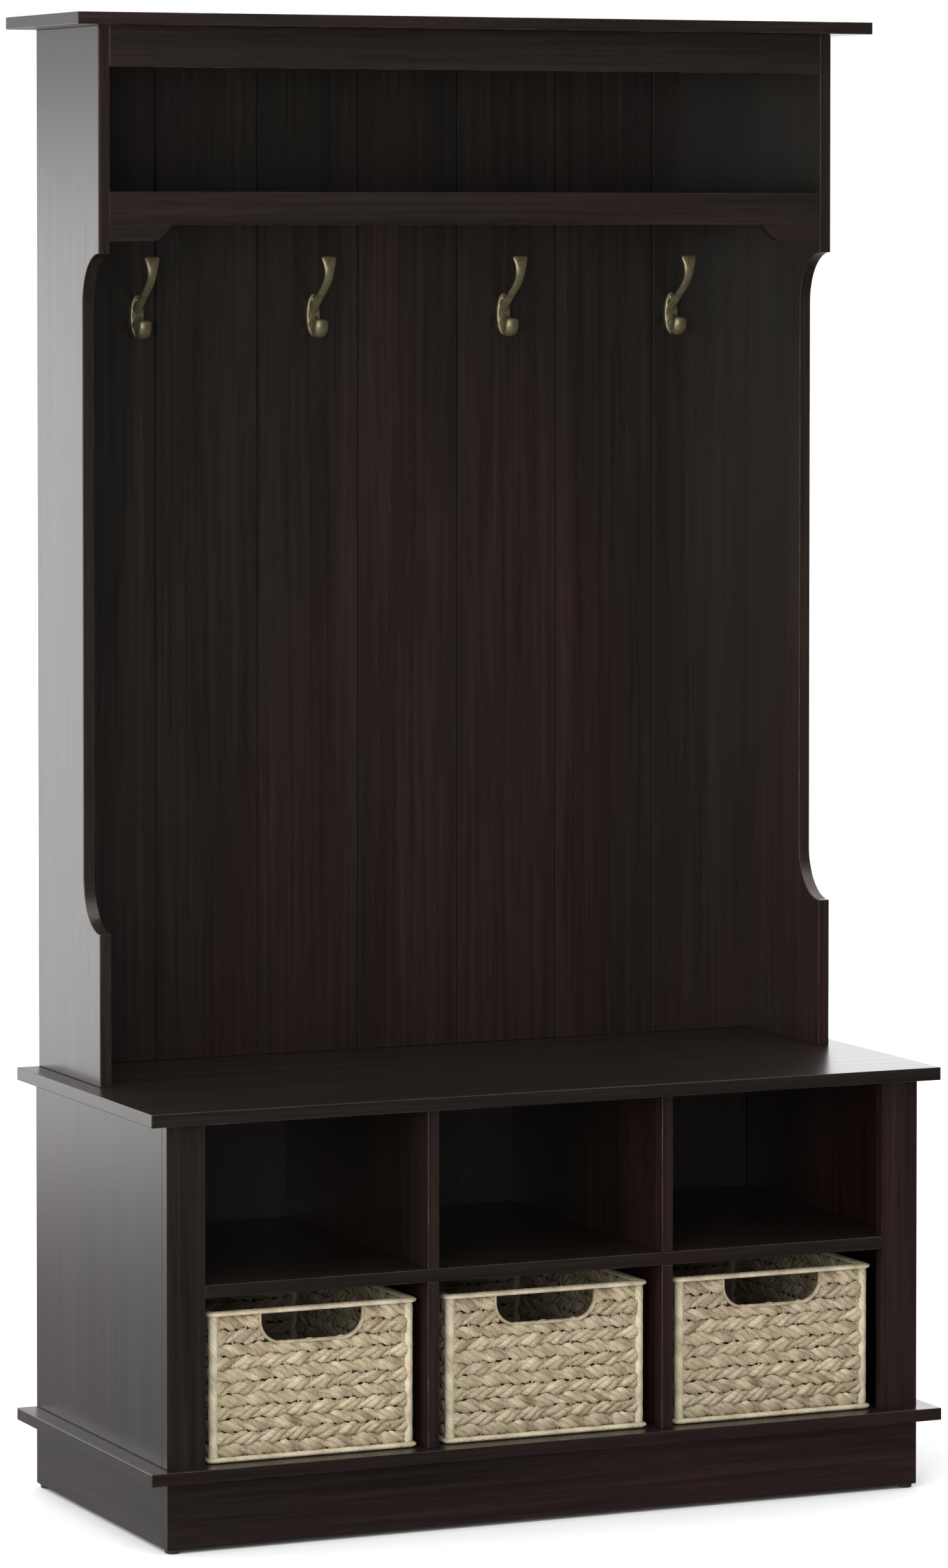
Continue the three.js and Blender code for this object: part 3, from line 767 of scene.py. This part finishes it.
def prong(strands, rows):
    """A flattened bar along a smooth line through the rows' points, rounded over at its tip."""
    rows = np.array(rows, float) * 0.001
    last = len(rows) - 1
    t = np.linspace(0, last, 64)
    smooth = np.array([[catmull(rows[:, c], x) for c in range(4)] for x in t])
    centres = np.column_stack([np.zeros(len(t)), -smooth[:, 0], smooth[:, 1]])
    ahead = np.gradient(centres, axis=0)
    ahead /= np.linalg.norm(ahead, axis=1)[:, None]
    across = np.tile([1.0, 0.0, 0.0], (len(t), 1))
    thick = np.cross(ahead, across)
    round_over = np.sqrt(1 - np.clip((t - (last - PRONG_TIP)) / PRONG_TIP, 0, 1) ** 2 * 0.75)
    strands.add(centres, across, thick, smooth[:, 2] * round_over, smooth[:, 3] * round_over, False, 0.5)


def catmull(values, x):
    """The smooth curve through the values, at x rows from the first."""
    i = min(int(x), len(values) - 2)
    f = x - i
    p0, p1, p2 = values[max(i - 1, 0)], values[i], values[i + 1]
    p3 = values[min(i + 2, len(values) - 1)]
    return 0.5 * (2 * p1 + (p2 - p0) * f + (2 * p0 - 5 * p1 + 4 * p2 - p3) * f ** 2
                  + (3 * p1 - p0 - 3 * p2 + p3) * f ** 3)


def oval_plate():
    """An oval plate with a rounded edge and a slightly raised face."""
    strands = Strands(around=48)
    # Each pair: out from the wall in plate thicknesses, and the outline's share of the full half width.
    profile = [(0.0, 1.0), (0.55, 1.0), (0.80, 0.965), (0.94, 0.90), (1.0, 0.80), (1.06, 0.5), (1.09, 0.02)]
    out = np.array([p[0] for p in profile]) * PLATE_THICK
    scale = np.array([p[1] for p in profile])
    n = len(profile)
    centres = np.column_stack([np.zeros(n), -out, np.zeros(n)])
    across = np.tile([1.0, 0.0, 0.0], (n, 1))
    up = np.tile([0.0, 0.0, 1.0], (n, 1))
    inset = (1 - scale) * PLATE_HALF_WIDTH
    strands.add(centres, across, up, PLATE_HALF_WIDTH - inset, PLATE_HALF_HEIGHT - inset, False, 0.5)
    return strands


def evaluated(piece, name):
    """The piece's mesh with its modifiers applied; the piece itself is removed."""
    graph = bpy.context.evaluated_depsgraph_get()
    mesh = bpy.data.meshes.new_from_object(piece.evaluated_get(graph))
    mesh.name = name
    bpy.data.objects.remove(piece)
    return mesh


def cast_hook():
    """Plate and prongs melted into one casting."""
    plate = oval_plate()
    bars = Strands(around=28)
    prong(bars, UPPER_PRONG)
    prong(bars, LOWER_PRONG)
    points = plate.points + bars.points
    faces = plate.faces + [tuple(i + plate.count for i in face) for face in bars.faces]
    mesh = bpy.data.meshes.new("rough_hook")
    mesh.from_pydata(np.concatenate(points).tolist(), [], faces)
    rough = bpy.data.objects.new("rough_hook", mesh)
    bpy.context.scene.collection.objects.link(rough)
    melt = rough.modifiers.new("melt", "REMESH")
    melt.mode = "VOXEL"
    melt.voxel_size = CAST_VOXEL
    settle = rough.modifiers.new("settle", "SMOOTH")
    settle.factor = 0.5
    settle.iterations = 5
    cast = evaluated(rough, "cast_hook")
    cast.polygons.foreach_set("use_smooth", [True] * len(cast.polygons))
    return cast


def cross_head(radius, rise):
    """A domed screw head with a cross recess, its flat side at y = 0 and its dome towards -Y."""
    rings, spokes = 14, 48
    arm, half_width, depth = radius * 0.56, radius * 0.13, rise * 0.55
    points, faces = [(0, -rise + depth, 0)], []
    for ring in range(1, rings + 1):
        r = radius * ring / rings
        for spoke in range(spokes):
            a = 2 * math.pi * spoke / spokes
            x, z = r * math.cos(a), r * math.sin(a)
            height = rise * (0.30 + 0.70 * math.sqrt(max(1 - (r / radius) ** 2, 0)))
            in_cross = (abs(x) < half_width and abs(z) < arm) or (abs(z) < half_width and abs(x) < arm)
            points.append((x, -(height - depth if in_cross else height), z))
    last = 1 + rings * spokes
    points += [(radius * math.cos(2 * math.pi * i / spokes), 0, radius * math.sin(2 * math.pi * i / spokes))
               for i in range(spokes)]
    for spoke in range(spokes):
        after = (spoke + 1) % spokes
        faces.append((0, 1 + spoke, 1 + after))
        for ring in range(rings):
            a = 1 + ring * spokes
            b = a + spokes
            faces.append((a + spoke, b + spoke, b + after, a + after))
    faces.append(tuple(last + i for i in reversed(range(spokes))))
    mesh = bpy.data.meshes.new("cross_head")
    mesh.from_pydata(points, [], faces)
    mesh.polygons.foreach_set("use_smooth", [True] * len(mesh.polygons))
    return mesh


def make_hooks():
    brass = antique_brass()
    cast = cast_hook()
    cast.materials.append(brass)
    low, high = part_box("hook_screw_1_upper")
    head = cross_head((high.x - low.x) / 2, high.y - low.y)
    head.materials.append(brass)
    for i in range(1, 5):
        low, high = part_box(f"coat_hook_{i}")
        middle_x, wall = (low.x + high.x) / 2, high.y
        upper_low, upper_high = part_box(f"hook_screw_{i}_upper")
        lower_low, lower_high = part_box(f"hook_screw_{i}_lower")
        middle_z = (upper_low.z + lower_high.z) / 2
        hook = bpy.data.objects.new(f"hook_casting_{i}", cast)
        bpy.context.scene.collection.objects.link(hook)
        hook.location = (middle_x, wall, middle_z)
        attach(hook, "cabinet")
        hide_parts(f"coat_hook_{i}")
        for place, (a, b) in (("upper", (upper_low, upper_high)), ("lower", (lower_low, lower_high))):
            screw = bpy.data.objects.new(f"hook_screw_head_{i}_{place}", head)
            bpy.context.scene.collection.objects.link(screw)
            screw.location = ((a.x + b.x) / 2, b.y - SCREW_GAP, (a.z + b.z) / 2)
            screw.rotation_euler = (0, 0.4 * i + (0.9 if place == "upper" else 0.2), 0)    # no two turned alike
            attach(screw, "cabinet")
            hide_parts(f"hook_screw_{i}_{place}")


make_camera()
make_light()
make_floor()
finish_boards()
finish_glides()
make_hooks()
make_baskets()
